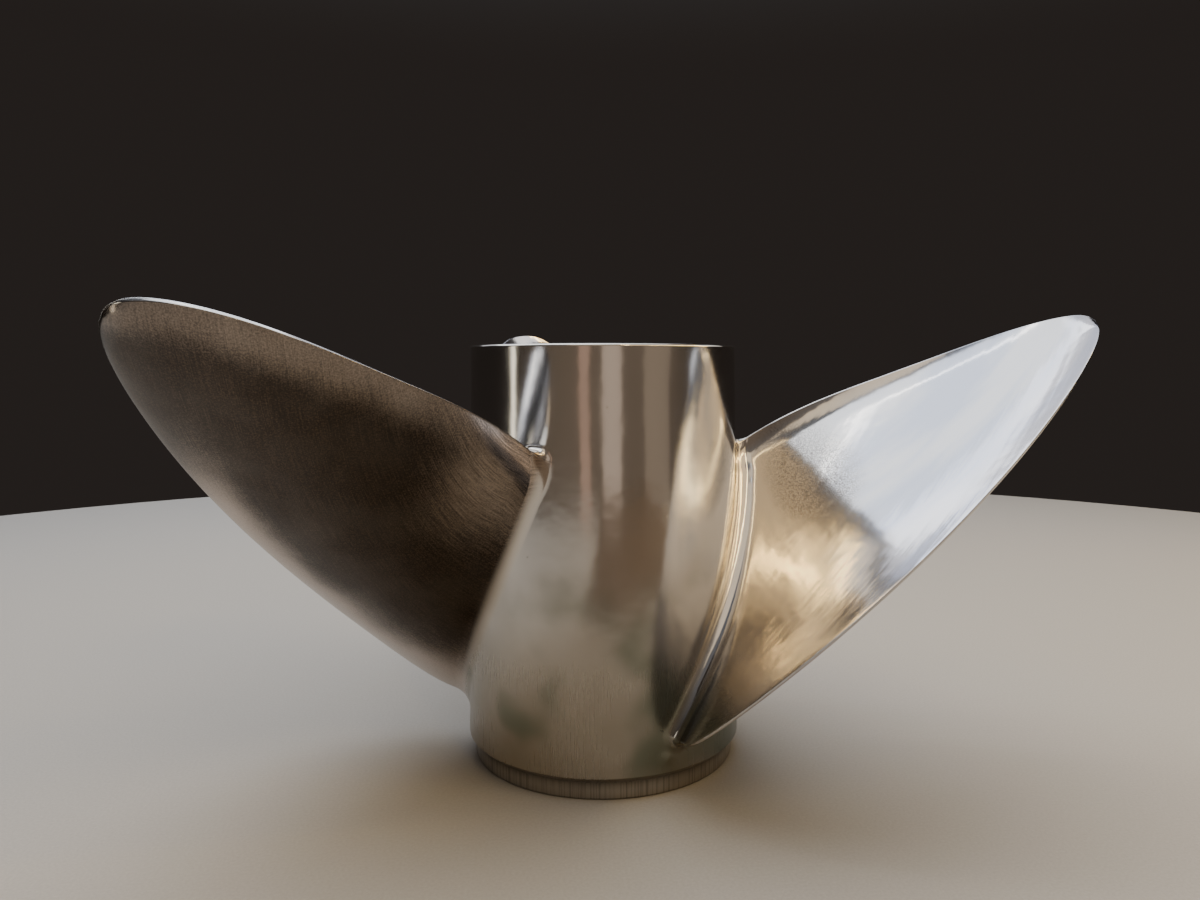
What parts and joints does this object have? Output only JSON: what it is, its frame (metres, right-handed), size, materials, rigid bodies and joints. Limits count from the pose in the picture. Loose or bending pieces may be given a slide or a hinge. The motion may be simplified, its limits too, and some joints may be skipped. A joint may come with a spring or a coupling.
{
  "type": "boat propeller",
  "caption": "Boat propeller with swept, cupped blades on an open exhaust barrel, and a splined sleeve bonded in a rubber bushing.",
  "frame": {"origin": "on the shaft axis, in the plane of the barrel's forward end, on which it stands", "axes": "+Z along the shaft axis, towards the after end; the first blade's tip lies on the +X, -Y side"},
  "size_m": [0.343, 0.3195, 0.1901],
  "materials": {
    "polished_steel": "hand-polished stainless casting with fine grinding marks",
    "cast_steel": "dull stainless casting skin inside the barrel",
    "rubber": "moulded black rubber",
    "bronze": "machined bronze"
  },
  "bodies": {
    "root": {"outer_barrel": "polished_steel", "blade_1": "polished_steel", "blade_2": "polished_steel", "blade_3": "polished_steel", "inner_hub": "cast_steel", "rib_1": "cast_steel", "rib_2": "cast_steel", "rib_3": "cast_steel", "rubber_bushing": "rubber", "splined_sleeve": "bronze"}
  },
  "joints": []
}
